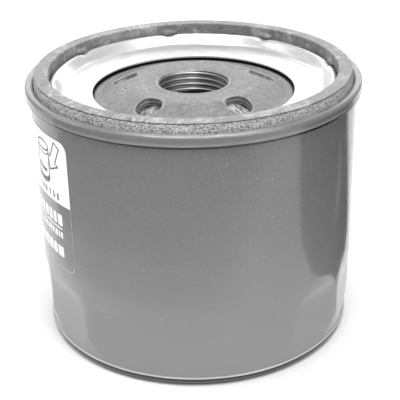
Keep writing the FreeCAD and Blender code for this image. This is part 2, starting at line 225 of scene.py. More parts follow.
# ------------------------------------------------------------------ materials
class Shade:
    """A node material whose textures are placed by object coordinates."""

    def __init__(self, name, rough=0.5, metal=0.0, spec=0.5, coat=0.0, coat_rough=0.1, color=(0.5, 0.5, 0.5)):
        self.m = bpy.data.materials.new(name)
        self.m.use_nodes = True
        self.t = self.m.node_tree
        self.t.nodes.clear()
        self.out = self.t.nodes.new("ShaderNodeOutputMaterial")
        self.b = self.t.nodes.new("ShaderNodeBsdfPrincipled")
        self.t.links.new(self.b.outputs[0], self.out.inputs[0])
        self.b.inputs["Base Color"].default_value = (*color, 1)
        self.b.inputs["Roughness"].default_value = rough
        self.b.inputs["Metallic"].default_value = metal
        self.b.inputs["Specular IOR Level"].default_value = spec
        self.b.inputs["Coat Weight"].default_value = coat
        self.b.inputs["Coat Roughness"].default_value = coat_rough
        self.co = self.t.nodes.new("ShaderNodeTexCoord").outputs["Object"]
        self.normal = None

    def node(self, kind, **k):
        n = self.t.nodes.new(kind)
        for a, v in k.items():
            setattr(n, a, v)
        return n

    def put(self, sock, v):
        if hasattr(v, "links"):
            self.t.links.new(v, sock)
        else:
            sock.default_value = v

    def scaled(self, s, rot=None):
        n = self.node("ShaderNodeMapping")
        self.put(n.inputs["Vector"], self.co)
        n.inputs["Scale"].default_value = s
        if rot:
            n.inputs["Rotation"].default_value = rot
        return n.outputs[0]

    def noise(self, scale, detail=3.0, rough=0.5, vec=None, lac=2.0):
        n = self.node("ShaderNodeTexNoise")
        self.put(n.inputs["Vector"], vec if vec is not None else self.co)
        n.inputs["Scale"].default_value = scale
        n.inputs["Detail"].default_value = detail
        n.inputs["Roughness"].default_value = rough
        n.inputs["Lacunarity"].default_value = lac
        return n.outputs[0]

    def voronoi(self, scale, feature="F1", vec=None, out="Distance"):
        n = self.node("ShaderNodeTexVoronoi", feature=feature)
        self.put(n.inputs["Vector"], vec if vec is not None else self.co)
        n.inputs["Scale"].default_value = scale
        return n.outputs[out]

    def math(self, op, a, b=0.0, c=0.0, clamp=False):
        n = self.node("ShaderNodeMath", operation=op, use_clamp=clamp)
        self.put(n.inputs[0], a)
        self.put(n.inputs[1], b)
        if len(n.inputs) > 2:
            self.put(n.inputs[2], c)
        return n.outputs[0]

    def span(self, v, a, b, lo=0.0, hi=1.0, kind="SMOOTHSTEP"):
        n = self.node("ShaderNodeMapRange", interpolation_type=kind)
        self.put(n.inputs["Value"], v)
        n.inputs["From Min"].default_value = a
        n.inputs["From Max"].default_value = b
        n.inputs["To Min"].default_value = lo
        n.inputs["To Max"].default_value = hi
        return n.outputs[0]

    def mix(self, f, a, b):
        n = self.node("ShaderNodeMix", data_type="RGBA")
        self.put(n.inputs[0], f)
        self.put(n.inputs[6], (*a, 1) if isinstance(a, tuple) else a)
        self.put(n.inputs[7], (*b, 1) if isinstance(b, tuple) else b)
        return n.outputs[2]

    def bump(self, h, strength=0.3, distance=0.0001):
        n = self.node("ShaderNodeBump")
        n.inputs["Strength"].default_value = strength
        n.inputs["Distance"].default_value = distance
        self.put(n.inputs["Height"], h)
        if self.normal:
            self.put(n.inputs["Normal"], self.normal)
        self.normal = n.outputs[0]
        self.put(self.b.inputs["Normal"], self.normal)
        return self

    def color(self, v):
        self.put(self.b.inputs["Base Color"], v)
        return self

    def rough(self, v):
        self.put(self.b.inputs["Roughness"], v)
        return self

    def polar(self):
        """Radius in metres, angle in radians and height in metres, from the axis."""
        s = self.node("ShaderNodeSeparateXYZ")
        self.put(s.inputs[0], self.co)
        x, y, z = s.outputs
        r = self.math("SQRT", self.math("ADD", self.math("MULTIPLY", x, x), self.math("MULTIPLY", y, y)))
        a = self.math("ARCTAN2", y, x)
        return r, a, z

    def round_space(self, ks, kr, kz):
        """Coordinates (angle, radius, height), scaled, for marks that run round the axis."""
        r, a, z = self.polar()
        c = self.node("ShaderNodeCombineXYZ")
        self.put(c.inputs[0], self.math("MULTIPLY", a, ks))
        self.put(c.inputs[1], self.math("MULTIPLY", r, kr))
        self.put(c.inputs[2], self.math("MULTIPLY", z, kz))
        return c.outputs[0]


def grey(v):
    return (v, v, v)


def specks(s, scale, share, size, soft):
    d = s.voronoi(scale)
    sep = s.node("ShaderNodeSeparateColor")
    s.put(sep.inputs[0], s.voronoi(scale, out="Color"))
    return s.math("MULTIPLY", s.span(d, size, size * 0.5, 0, 1), s.span(sep.outputs[0], share, share + soft))


def paint(name="can_enamel", lo=0.131, hi=0.160, foot=True, seam=False):
    s = Shade(name, rough=0.2, spec=0.5, coat=0.3, coat_rough=0.05)
    mottle = s.noise(1500, 3, 0.7)
    base = s.mix(s.span(mottle, 0.3, 0.7), grey(lo), grey(hi))
    cloud = s.noise(32, 2, 0.5)
    base = s.mix(s.span(cloud, 0.35, 0.7, 0, 0.25), base, grey(hi * 1.12))
    # a few pale specks of dust in the enamel
    on = specks(s, 520, 0.925, 0.17, 0.02)
    base = s.mix(s.math("MULTIPLY", on, 0.36), base, grey(0.5))
    base = s.mix(s.math("MULTIPLY", specks(s, 900, 0.90, 0.22, 0.02), 0.14), base, grey(0.42))
    rough = s.span(s.noise(420, 3, 0.55), 0.3, 0.7, 0.15, 0.22)
    r, a, z = s.polar()
    if foot:
        # painted light: the enamel is painted lighter towards the foot, in place of light thrown up from the table
        base = s.mix(s.span(z, 0.066, 0.004, 0, 0.8, "LINEAR"), base, grey(hi * 1.5))
        # where the wall turns under, painted reflections: a near-black band for the table's shade under the can, a
        # paler band inside it, and a bright line at the top of the bend for the lit table
        wob = s.math("MULTIPLY_ADD", s.noise(60, 2), 0.0003, -0.00015)
        zz = s.math("ADD", z, wob)
        foot_shade_reflection = s.span(zz, 0.00240, 0.00215)
        line = s.math("MULTIPLY", s.span(zz, 0.00222, 0.00242), s.span(zz, 0.00276, 0.00256))
        mid = s.math("MULTIPLY", s.span(zz, 0.00105, 0.00130), s.span(zz, 0.0017, 0.00145))
        base = s.mix(foot_shade_reflection, base, grey(0.010))
        base = s.mix(s.math("MULTIPLY", mid, 0.6), base, grey(0.14))
        base = s.mix(s.math("MULTIPLY", line, 0.56), base, grey(0.74))
        # painted highlight: the sloping run-outs of the wrench flats, which tilt up to the light, are painted lighter
        # away from the front
        runout_highlight = s.math("MULTIPLY", s.span(r, 0.04497, 0.04478), s.math("MULTIPLY", s.span(z, 0.0188, 0.0196), s.span(z, 0.026, 0.025)))
        aside = s.span(s.math("ABSOLUTE", s.math("ADD", a, math.pi / 2)), 0.40, 0.90)
        base = s.mix(s.math("MULTIPLY", s.math("MULTIPLY", runout_highlight, aside), 0.26), base, grey(0.34))
    if seam:
        # roller marks: streaks that run round the seam, with a painted highlight on its shoulder
        streak = s.noise(3.2, 4, 0.65, vec=s.round_space(2.4, 900, 2600))
        fine = s.noise(3.0, 3, 0.6, vec=s.round_space(16, 2000, 5200))
        base = s.mix(s.span(streak, 0.42, 0.75, 0, 0.5), base, grey(0.22))
        base = s.mix(s.span(fine, 0.5, 0.72, 0, 0.3), base, grey(0.07))
        angle_from_highlight = s.math("ABSOLUTE", s.math("ADD", a, math.pi / 2))
        # painted highlight: the top of the shoulder is painted bright, streaked, and brightest at the front
        front_highlight = s.span(angle_from_highlight, 0.55, 0.12, 0.22, 1.0)
        shoulder_highlight = s.math("MULTIPLY", s.span(z, 0.07300, 0.07335), s.span(streak, 0.38, 0.56, 0.3, 1.0))
        base = s.mix(s.math("MULTIPLY", s.math("MULTIPLY", shoulder_highlight, 0.75), front_highlight), base, grey(0.62))
        # painted light: the seam is painted lighter at the front than at its sides
        base = s.mix(s.math("MULTIPLY", s.span(angle_from_highlight, 0.8, 0.3), 0.35), base, grey(0.19))
        low = s.math("MULTIPLY", s.span(z, 0.07190, 0.07130), s.span(streak, 0.35, 0.6, 0.4, 1.0))
        base = s.mix(s.math("MULTIPLY", low, 0.7), base, grey(0.27))
        # painted shadow: the seam's underside is painted near-black where it meets the can wall
        under = s.span(z, 0.07092, 0.07078)
        base = s.mix(under, base, grey(0.004))
        s.bump(streak, 0.35, 0.00008)
    s.color(base)
    s.rough(rough)
    s.bump(s.noise(1300, 2, 0.5), 0.10, 0.00006)
    s.bump(on, 0.2, 0.00004)
    return s.m


def tin():
    s = Shade("tinned_sheet", rough=0.3, metal=0.85, spec=0.5, color=grey(0.85))
    swirl = s.noise(2.2, 2, 0.5, vec=s.round_space(2.2, 300, 200))
    s.color(s.mix(s.span(swirl, 0.3, 0.7), grey(0.83), grey(0.72)))
    s.rough(s.span(s.noise(60, 2, 0.5), 0.3, 0.7, 0.27, 0.33))
    s.bump(s.noise(40, 2, 0.5), 0.08, 0.0003)
    s.bump(s.noise(900, 2, 0.5), 0.02, 0.00003)
    return s.m


def tin_painted_shade():
    # painted shade: the underside of the cover's annulus is painted near-black, for the shadow under the cover's edge
    s = Shade("tinned_sheet_painted_shade", rough=0.6, metal=0.3, spec=0.2, color=grey(0.06))
    s.color(s.mix(s.span(s.noise(300, 2), 0.3, 0.7), grey(0.02), grey(0.05)))
    s.rough(s.span(s.noise(200, 2), 0.3, 0.7, 0.5, 0.7))
    return s.m


BLEMISH = (-0.0192, -0.0044)


def plate_steel():
    s = Shade("pressed_plate", rough=0.5, metal=0.5, color=grey(0.3))
    grain = s.noise(1700, 4, 0.7)
    cloud = s.noise(120, 4, 0.6)
    c = s.mix(s.span(cloud, 0.3, 0.7), grey(0.185), grey(0.26))
    c = s.mix(s.span(s.noise(620, 3, 0.7), 0.42, 0.62, 0, 0.6), c, grey(0.33))
    c = s.mix(s.span(s.noise(700, 3, 0.7), 0.54, 0.66, 0, 0.6), c, grey(0.12))
    c = s.mix(s.span(grain, 0.38, 0.72, 0, 0.6), c, grey(0.36))
    scr = s.noise(5, 2, 0.6, vec=s.scaled((40, 900, 200), (0, 0, 0.9)))
    c = s.mix(s.span(scr, 0.64, 0.72, 0, 0.3), c, grey(0.48))
    c = s.mix(s.math("MULTIPLY", s.span(s.voronoi(900), 0.16, 0.06), s.span(s.noise(340, 2), 0.56, 0.62)), c, grey(0.1))
    r, a, z = s.polar()
    # painted highlights: a glint on the lip of the mouth, brightest on the near side, and a faint one on the edge of
    # the punch's shoulder round the hub, brightest towards the back left
    lip_glint = s.math("MULTIPLY", s.span(r, 0.00975, 0.0100), s.span(r, 0.0106, 0.0103))
    lip_glint = s.math("MULTIPLY", lip_glint, s.span(s.noise(150, 2), 0.3, 0.65, 0.3, 1.0))
    lip_glint = s.math("MULTIPLY", lip_glint, s.span(s.math("SINE", a), 0.6, -0.2, 0.15, 1.0))
    c = s.mix(s.math("MULTIPLY", lip_glint, 0.55), c, grey(0.6))
    hub_glint = s.math("MULTIPLY", s.span(r, 0.0136, 0.0142), s.span(r, 0.0152, 0.0144))
    hub_glint = s.math("MULTIPLY", hub_glint, s.span(s.noise(90, 2), 0.35, 0.65, 0.1, 1.0))
    hub_glint = s.math("MULTIPLY", hub_glint, s.span(s.math("SINE", s.math("SUBTRACT", a, 0.5)), -0.6, 0.2))
    c = s.mix(s.math("MULTIPLY", hub_glint, 0.3), c, grey(0.46))
    edge = s.math("MULTIPLY", s.span(r, 0.0104, 0.0108), s.span(r, 0.0122, 0.0112))
    c = s.mix(s.math("MULTIPLY", edge, 0.2), c, grey(0.12))
    # distance from the nearest oil inlet, square to the cone
    step = 2 * math.pi / 5
    af = s.math("SUBTRACT", a, math.radians(-126.0) - step / 2 - 4 * step)
    af = s.math("SUBTRACT", s.math("MODULO", af, step), step / 2)
    dx = s.math("SUBTRACT", s.math("MULTIPLY", r, s.math("COSINE", af)), 0.0200)
    dy = s.math("MULTIPLY", r, s.math("SINE", af))
    down = s.math("SUBTRACT", 0.0713, z)
    along = s.math("SUBTRACT", s.math("MULTIPLY", dx, math.cos(math.radians(22.0))),
                   s.math("MULTIPLY", s.math("SUBTRACT", down, s.math("MULTIPLY", dx, 0.404)), 0.0))
    d = s.math("SQRT", s.math("ADD", s.math("MULTIPLY", along, along), s.math("MULTIPLY", dy, dy)))
    # painted highlight: a bright line along each inlet's rolled edge
    rim = s.math("MULTIPLY", s.span(d, 0.00366, 0.0038), s.span(d, 0.00410, 0.00395))
    rim = s.math("MULTIPLY", rim, s.span(s.noise(240, 2), 0.35, 0.6, 0.35, 1.0))
    c = s.mix(s.math("MULTIPLY", rim, 0.42), c, grey(0.6))
    # depth under the top of the cone: sheared band, then the brighter torn band
    depth = s.math("SUBTRACT", down, s.math("MULTIPLY", s.math("MAXIMUM", s.math("SUBTRACT", r, 0.0178), 0.0), 0.404))
    inside = s.math("MULTIPLY", s.span(d, 0.00400, 0.00385), s.math("GREATER_THAN", r, 0.0130))
    c = s.mix(s.math("MULTIPLY", inside, s.span(depth, 0.00030, 0.0005)), c, grey(0.05))
    c = s.mix(s.math("MULTIPLY", inside, s.span(depth, 0.00055, 0.0008)), c, s.mix(s.span(s.noise(900, 3, 0.7), 0.4, 0.62), grey(0.26), grey(0.46)))
    c = s.mix(s.math("MULTIPLY", inside, s.span(depth, 0.00150, 0.00170)), c, grey(0.10))
    c = s.mix(s.math("MULTIPLY", inside, s.span(depth, 0.00185, 0.00200)), c, grey(0.32))
    # painted light: the walls inside the far inlets, which face the front, are painted brighter in patches
    far_inlet_light = s.math("MULTIPLY", s.span(s.math("SINE", a), 0.0, 0.1), s.span(s.noise(800, 3, 0.7), 0.40, 0.56))
    c = s.mix(s.math("MULTIPLY", s.math("MULTIPLY", inside, far_inlet_light), s.span(depth, 0.0004, 0.0007)), c, grey(0.5))
    # a small scuff on the cone
    bx = s.math("SUBTRACT", s.math("MULTIPLY", r, s.math("COSINE", a)), BLEMISH[0])
    by = s.math("SUBTRACT", s.math("MULTIPLY", r, s.math("SINE", a)), BLEMISH[1])
    bd = s.math("SQRT", s.math("ADD", s.math("MULTIPLY", bx, bx), s.math("MULTIPLY", by, by)))
    bn = s.noise(1300, 3, 0.7)
    near = s.span(bd, 0.0026, 0.0012)
    c = s.mix(s.math("MULTIPLY", near, s.span(bn, 0.54, 0.6)), c, grey(0.62))
    c = s.mix(s.math("MULTIPLY", near, s.span(bn, 0.44, 0.38)), c, grey(0.07))
    # painted shadow: the plate is painted near-black where it runs in under the cover
    c = s.mix(s.span(r, 0.0273, 0.0278), c, grey(0.010))
    s.color(c)
    s.rough(s.span(cloud, 0.3, 0.7, 0.46, 0.6))
    s.bump(grain, 0.22, 0.00007)
    s.bump(s.noise(420, 3, 0.6), 0.18, 0.00012)
    return s.m


def cut_steel():
    s = Shade("cut_thread", rough=0.34, metal=1.0, color=grey(0.34))
    turn = s.noise(4, 4, 0.6, vec=s.round_space(1.5, 300, 1800))
    r, a, z = s.polar()
    # painted highlight: the far side of the bore, which faces the front, is painted bright, brightest in its middle
    angle_from_highlight = s.math("ABSOLUTE", s.math("SUBTRACT", a, math.pi / 2))
    c = s.mix(s.span(turn, 0.3, 0.75), grey(0.26), grey(0.38))
    c = s.mix(s.span(angle_from_highlight, 1.1, 0.1, 0, 0.5), c, grey(0.62))
    c = s.mix(s.span(angle_from_highlight, 0.30, 0.0, 0, 0.6), c, grey(0.9))
    # painted shade: darker towards the roots of the thread
    c = s.mix(s.math("MULTIPLY", s.span(r, 0.0098, 0.0102), 0.35), c, grey(0.08))
    s.color(c)
    s.rough(s.span(turn, 0.3, 0.8, 0.44, 0.56))
    s.bump(turn, 0.12, 0.00005)
    return s.m


def gasket_rubber(name="gasket_face", lo=0.17, hi=0.28, dust=0.46):
    s = Shade(name, rough=0.5, spec=0.45, color=grey(0.3))
    streak = s.noise(2.6, 5, 0.65, vec=s.round_space(7, 500, 500))
    c = s.mix(s.span(streak, 0.25, 0.8), grey(lo), grey(hi))
    fine = s.noise(1900, 3, 0.7)
    c = s.mix(s.span(fine, 0.45, 0.8, 0, 0.4), c, grey(dust))
    patch = s.noise(110, 4, 0.7)
    c = s.mix(s.span(patch, 0.48, 0.70, 0, 0.6), c, grey(dust))
    c = s.mix(s.span(s.noise(170, 3, 0.7), 0.54, 0.70, 0, 0.55), c, grey(lo * 0.5))
    wipe = s.noise(3.0, 3, 0.6, vec=s.round_space(3.4, 120, 120))
    c = s.mix(s.span(wipe, 0.54, 0.68, 0, 0.5), c, grey(dust * 1.25))
    # short dark cracks with a pale lip, thinly scattered
    crack = s.noise(3.0, 3, 0.6, vec=s.round_space(60, 90, 420))
    pick = s.span(s.noise(26, 1), 0.60, 0.66)
    c = s.mix(s.math("MULTIPLY", s.span(crack, 0.59, 0.63), pick), c, grey(0.05))
    c = s.mix(s.math("MULTIPLY", s.span(crack, 0.41, 0.37), pick), c, grey(0.7))
    s.color(c)
    s.rough(s.span(streak, 0.3, 0.8, 0.36, 0.58))
    s.bump(fine, 0.22, 0.00006)
    s.bump(s.noise(300, 3, 0.6), 0.25, 0.00012)
    return s.m


def gasket_rough():
    s = Shade("gasket_cut_edge", rough=0.85, spec=0.25, color=grey(0.3))
    a = s.noise(2300, 3, 0.75)
    b = s.noise(500, 3, 0.6)
    c = s.mix(s.span(a, 0.38, 0.60), grey(0.12), grey(0.58))
    c = s.mix(s.span(b, 0.45, 0.7, 0, 0.4), c, grey(0.34))
    s.color(c)
    s.bump(a, 0.8, 0.0002)
    return s.m


def gasket_groove():
    # painted shade: the small groove near the top of the outer wall is painted near-black
    s = Shade("gasket_groove_painted_shade", rough=0.8, spec=0.2, color=grey(0.06))
    n = s.noise(500, 3, 0.6)
    s.color(s.mix(s.span(n, 0.35, 0.7), grey(0.03), grey(0.12)))
    s.bump(n, 0.3, 0.0001)
    return s.m


def nitrile():
    s = Shade("moulded_nitrile", rough=0.26, spec=0.6, coat=0.5, coat_rough=0.12, color=grey(0.4))
    n = s.noise(300, 3, 0.6)
    fold = s.noise(3.0, 3, 0.6, vec=s.round_space(9, 110, 40))
    c = s.mix(s.span(n, 0.3, 0.7), grey(0.55), grey(0.8))
    s.color(s.mix(s.span(fold, 0.52, 0.44), c, grey(0.2)))
    s.bump(fold, 0.4, 0.0004)
    s.rough(s.span(n, 0.3, 0.7, 0.2, 0.36))
    s.bump(s.noise(900, 3), 0.15, 0.00006)
    return s.m


def metal_part(name, lo, hi, rough=(0.28, 0.42), metal=1.0, seed=0.0):
    s = Shade(name, rough=rough[0], metal=metal, color=lo)
    n = s.noise(140 + seed, 4, 0.6)
    g = s.noise(1600 + seed, 3, 0.6, vec=s.scaled((1, 1, 6)))
    s.color(s.mix(s.span(n, 0.3, 0.72), lo, hi))
    s.rough(s.span(n, 0.3, 0.7, *rough))
    s.bump(g, 0.12, 0.00005)
    return s.m


def zinc(name):
    s = Shade(name, rough=0.36, metal=1.0, color=(0.62, 0.62, 0.6))
    v = s.voronoi(160, out="Color")
    sep = s.node("ShaderNodeSeparateColor")
    s.put(sep.inputs[0], v)
    s.color(s.mix(sep.outputs[0], (0.55, 0.56, 0.56), (0.72, 0.72, 0.7)))
    s.rough(s.span(sep.outputs[1], 0.0, 1.0, 0.28, 0.46))
    s.bump(s.noise(700, 3), 0.1, 0.00005)
    return s.m


def paper():
    s = Shade("pleat_paper", rough=0.9, spec=0.2, color=(0.7, 0.55, 0.3))
    f = s.noise(2600, 5, 0.75)
    c = s.mix(s.span(f, 0.3, 0.7), (0.60, 0.46, 0.24), (0.78, 0.66, 0.42))
    c = s.mix(s.span(s.noise(70, 3), 0.4, 0.75, 0, 0.5), c, (0.5, 0.36, 0.17))
    s.color(c)
    s.bump(f, 0.5, 0.00012)
    return s.m


def plastisol():
    s = Shade("cured_plastisol", rough=0.45, spec=0.5, color=(0.42, 0.16, 0.08))
    n = s.noise(220, 4, 0.6)
    s.color(s.mix(s.span(n, 0.3, 0.7), (0.36, 0.13, 0.07), (0.5, 0.22, 0.12)))
    s.rough(s.span(n, 0.3, 0.7, 0.35, 0.55))
    s.bump(n, 0.3, 0.0002)
    return s.m


def nylon():
    s = Shade("moulded_nylon", rough=0.42, spec=0.5, color=(0.7, 0.68, 0.6))
    n = s.noise(500, 3, 0.6)
    s.color(s.mix(s.span(n, 0.3, 0.7), (0.66, 0.64, 0.56), (0.76, 0.74, 0.68)))
    s.rough(s.span(n, 0.3, 0.7, 0.36, 0.5))
    s.bump(n, 0.12, 0.00008)
    return s.m


def compound():
    s = Shade("seam_compound_gold", rough=0.5, spec=0.5, color=(0.5, 0.4, 0.2))
    n = s.noise(900, 3, 0.6)
    s.color(s.mix(n, (0.42, 0.33, 0.16), (0.58, 0.47, 0.26)))
    s.bump(n, 0.3, 0.0001)
    return s.m


def ink(name, lo, hi, rough=0.3):
    s = Shade(name, rough=rough, spec=0.5, coat=0.25, coat_rough=0.1)
    n = s.noise(700, 3, 0.6)
    s.color(s.mix(s.span(n, 0.3, 0.7), grey(lo), grey(hi)))
    s.rough(s.span(n, 0.3, 0.7, rough, rough + 0.1))
    s.bump(s.noise(1300, 2, 0.5), 0.08, 0.00005)
    return s.m


M_PAINT = paint()
M_SEAM = paint("seam_enamel", 0.112, 0.130, foot=False, seam=True)
M_TIN = tin()
M_TIN_SHADE = tin_painted_shade()
M_PLATE = plate_steel()
M_CUT = cut_steel()
M_GASKET = gasket_rubber()
# a darker copy of the rubber: painted shade for the gasket's inner wall
M_GASKET_SHADE = gasket_rubber("gasket_inner_wall_painted_shade", 0.13, 0.22, 0.38)
M_GROOVE_SHADE = gasket_groove()
M_ROUGH = gasket_rough()
M_NITRILE = nitrile()
M_ZINC = zinc("zinc_plated")
M_WELD = metal_part("weld_nugget", grey(0.3), grey(0.5), (0.35, 0.6))
M_TUBE = metal_part("perforated_strip", grey(0.5), grey(0.64))
M_SPRING = metal_part("drawn_wire", grey(0.4), grey(0.6), (0.2, 0.32))
M_LEAF = metal_part("blued_strip", (0.16, 0.18, 0.24), (0.28, 0.3, 0.36), (0.25, 0.4))
M_CLIP = metal_part("clip_strip", grey(0.5), grey(0.7), (0.22, 0.35))
M_PAPER = paper()
M_POT = plastisol()
M_NYLON = nylon()
M_COMP = compound()
M_FILM = paint("label_film", 0.131, 0.160)
M_WHITE = ink("white_ink", 0.9, 0.94, 0.34)
M_DARK = ink("dark_ink", 0.04, 0.07, 0.4)
M_EDGE = ink("film_edge", 0.42, 0.5, 0.25)


def wear(o, *mats):
    o.data.materials.clear()
    for m in mats:
        o.data.materials.append(m)
    return o


# ------------------------------------------------------------------ sizes, as in the CAD (mm)
CAN_R, CAN_T = 45.05, 0.40
FOOT_R, FOOT_CORNER, FOOT_TOP, WAIST_R, WAIST_TOP, TAPER_TOP, FLAT_FOOT = 44.40, 1.40, 2.35, 44.10, 3.40, 9.0, 2.60
FLATS, APOTHEM, FLAT_TOP, PHASE = 14, 44.0, 19.0, math.radians(-132.7)
RUNOUT = math.tan(math.radians(23.0))
SEAM_R, LID_T, GAP = 46.5, 0.48, 0.03
SEAM_TOP, SEAM_BOTTOM = 73.6, 70.0
FLOOR_Z, RIDGE_TOP, TOTAL_H = 70.2, 73.3, 76.0
GASKET_RI, GASKET_RO, GASKET_TOP_RO = 39.95, 43.95, 43.60
NIB_PHASE = math.radians(10.7)
HUB_TOP, PLATE_T, PLATE_R = 71.3, 2.5, 43.3
MINOR, PITCH, DEPTH = 9.525, 25.4 / 16, 0.79
COLLAR_R, COLLAR_BOTTOM = 12.6, 64.8
INLET_R, INLET_PCR, INLET_PHASE = 3.65, 20.0, -126.0
CONE = math.radians(22.0)


# ------------------------------------------------------------------ can
def flats(R, T, Z, S):
    """Wrench flats: the wall is limited by 14 planes that start over the bead and lean out at their tops."""
    step = 2 * math.pi / FLATS
    phi = wrap(T - PHASE - step / 2)
    phi = phi - np.round(phi / step) * step
    ap = APOTHEM + np.maximum(Z - FLAT_TOP, 0) * RUNOUT - np.where(S < 0, 0.0, CAN_T)
    # over the bead the planes fade out over half a millimetre
    ap = ap + 0.6 * smooth(FLAT_FOOT + 0.55, FLAT_FOOT - 0.1, Z)
    lim = ap / np.cos(phi)
    k = 0.10
    d = R - lim
    soft = np.where(R > 40, R - (d + np.sqrt(d * d + k * k)) / 2 + 0.0, R)
    soft = np.where(Z < 26, soft, R)
    # the soft limit takes a little off everywhere: give it back where the wall is plain
    give = np.where(R > 40, (np.sqrt(d * d + k * k) + d) / 2 - np.maximum(d, 0), 0)
    soft = soft + np.where(Z < 26, give * smooth(0.0, 0.6, -d), 0)
    return soft, T, Z


hook_r = SEAM_R - LID_T - GAP - CAN_T / 2
wall_r = CAN_R - CAN_T / 2
can_top = SEAM_TOP - LID_T - GAP - CAN_T / 2
hr = (hook_r - wall_r) / 2 - 0.001


def can_step(x, y):
    if x > 40 and 17.5 < y < 22.5:
        return 0.14
    if x > 40 and y < 4.5:
        return 0.16
    if x > 40 and y < 26:
        return 0.6
    if x > 38:
        return 3.2
    return 2.5


half = CAN_T / 2
can_pts = section([(0, 1.8), (25.6, 1.8), (28.7, half), (FOOT_R - half, half), (FOOT_R - half, FOOT_TOP), (WAIST_R - half, FOOT_TOP + 0.3),
                   (WAIST_R - half, WAIST_TOP), (wall_r, TAPER_TOP), (wall_r, can_top), (hook_r, can_top), (hook_r, 70.97)],
                  [2.4, 2.4, FOOT_CORNER - half, 0.22, 0.22, 3.0, 12.0, hr, hr], CAN_T, can_step)
SIGN_OUT = -1  # walking out and up, the outside of the can is on the path's right
can = lathe("can_shell", can_pts, FLATS * 34, flats, start=PHASE, sharp=28)
wear(can, M_PAINT)
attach(can, "housing")
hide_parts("can")

# ------------------------------------------------------------------ cover and its seam
cover_out = SEAM_R - LID_T / 2
cover_hook = wall_r + CAN_T / 2 + GAP + LID_T / 2
chuck_r = wall_r - CAN_T / 2 - GAP - LID_T / 2
rb = (cover_out - cover_hook) / 2 - 0.001


def cover_warp(R, T, Z, S):
    a8 = 8 * (T - NIB_PHASE)
    near = wrap(a8) / 8 * 39.5                     # mm along the ridge from a crimp
    ridge = smooth(33.5, 37.5, R) * (1 - smooth(39.9, 41.0, R)) * smooth(70.2, 71.6, Z)
    crimp = np.exp(-(near / 1.9) ** 2)
    # the ridge is staked outwards at eight places, and runs a little straighter between them
    R2 = R + ridge * (0.10 * crimp - 0.16 * (1 - wave(a8)) * smooth(71, 73, Z))
    crease = np.exp(-((R - 36.4) / 1.1) ** 2) * (1 - smooth(42, 43, R))
    R2 = R2 + crease * 0.28 * np.cos(a8)
    Z2 = Z - ridge * smooth(72.4, 73.3, Z) * 0.55 * crimp
    Z2 = Z2 + crease * (0.05 * np.cos(a8 + 0.6) + 0.03 * np.sin(3 * T + 1.0))
    return R2, T, Z2


def cover_step(x, y):
    if x < 41:
        return 0.45
    return 0.6


cover_pts = section([(cover_hook, 72.40), (cover_hook, SEAM_BOTTOM + LID_T / 2), (cover_out, SEAM_BOTTOM + LID_T / 2),
                     (cover_out, SEAM_TOP - LID_T / 2), (chuck_r, SEAM_TOP - LID_T / 2), (chuck_r, FLOOR_Z - LID_T / 2),
                     (39.46, FLOOR_Z - LID_T / 2), (39.46, RIDGE_TOP + 0.61), (36.1, 70.35), (28.2, 69.05)],
                    [rb, rb, 0.8, 0.7, 0.7, 0.7, 0.6, 1.2], LID_T, cover_step)


def cover_group(i, pts):
    x, y, side = pts[i]
    # the underside of the cover's annulus takes the painted-shade tin
    if x < 38.5 and side > 0:
        return 2
    return 0 if x > 44.75 else 1


cover = lathe("seamed_cover", cover_pts, 720, cover_warp, sharp=40, groups=cover_group)
cover.data.materials.append(M_SEAM)
cover.data.materials.append(M_TIN)
cover.data.materials.append(M_TIN_SHADE)
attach(cover, "housing")
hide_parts("seaming_lid")


# ------------------------------------------------------------------ gasket
def gasket_warp(R, T, Z, S):
    arc = wrap(8 * (T - NIB_PHASE)) / 8 * 40.0
    inner = smooth(40.6, 40.0, R)
    lug = np.sqrt(np.clip(1 - (arc / 2.45) ** 2 - ((Z - 73.55) / 0.85) ** 2, 0, 1))
    R2 = R - inner * 0.95 * lug
    ripple = 0.035 * np.sin(9 * T + 0.7) + 0.03 * np.sin(23 * T + 2.1) * smooth(74.5, 76, Z)
    R2 = R2 + ripple * smooth(73.5, 75.5, Z) * 0.5
    rough = smooth(43.3, 43.6, R) * smooth(75.55, 75.35, Z)
    grain = RNG.normal(0, 1, R.shape)
    flare = rough * smooth(75.3, 73.9, Z) * 0.05 * (1 + np.sin(7 * T + 1.0))
    R2 = R2 + rough * np.clip(grain, -1.6, 0.6) * 0.032 + flare
    Z2 = Z + 0.02 * (np.sin(5 * T) - 1) * smooth(75.6, 76.0, Z)
    return np.minimum(R2, GASKET_RO + 0.05), T, Z2


gasket_pts = outline([(GASKET_RI, FLOOR_Z + 0.01), (GASKET_RO, FLOOR_Z + 0.01), (GASKET_RO, 73.6), (43.66, 75.48), (43.30, 75.56),
                      (43.34, 75.68), (GASKET_TOP_RO, 75.74), (GASKET_TOP_RO, TOTAL_H), (GASKET_RI, TOTAL_H)],
                     [0.5, 0.5, 0.5, 0.06, 0.04, 0.04, 0.05, 0.12, 0.3], arc_step=18, ease=0.02, step=0.24)


def gasket_group(i, pts):
    x, y = pts[i][0], pts[i][1]
    # the small groove near the top takes the near-black painted shade
    if x > 43.2 and 75.52 < y < 75.73:
        return 2
    # the inner wall takes the darker painted-shade copy of the rubber
    if x < 40.2 and y < 75.75:
        return 3
    return 1 if x > 43.35 and y < 75.6 else 0


gasket = lathe("gasket_ring", gasket_pts, 1080, gasket_warp, sharp=50, groups=gasket_group)
gasket.data.materials.append(M_GASKET)
gasket.data.materials.append(M_ROUGH)
gasket.data.materials.append(M_GROOVE_SHADE)
gasket.data.materials.append(M_GASKET_SHADE)
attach(gasket, "housing")
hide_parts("gasket")


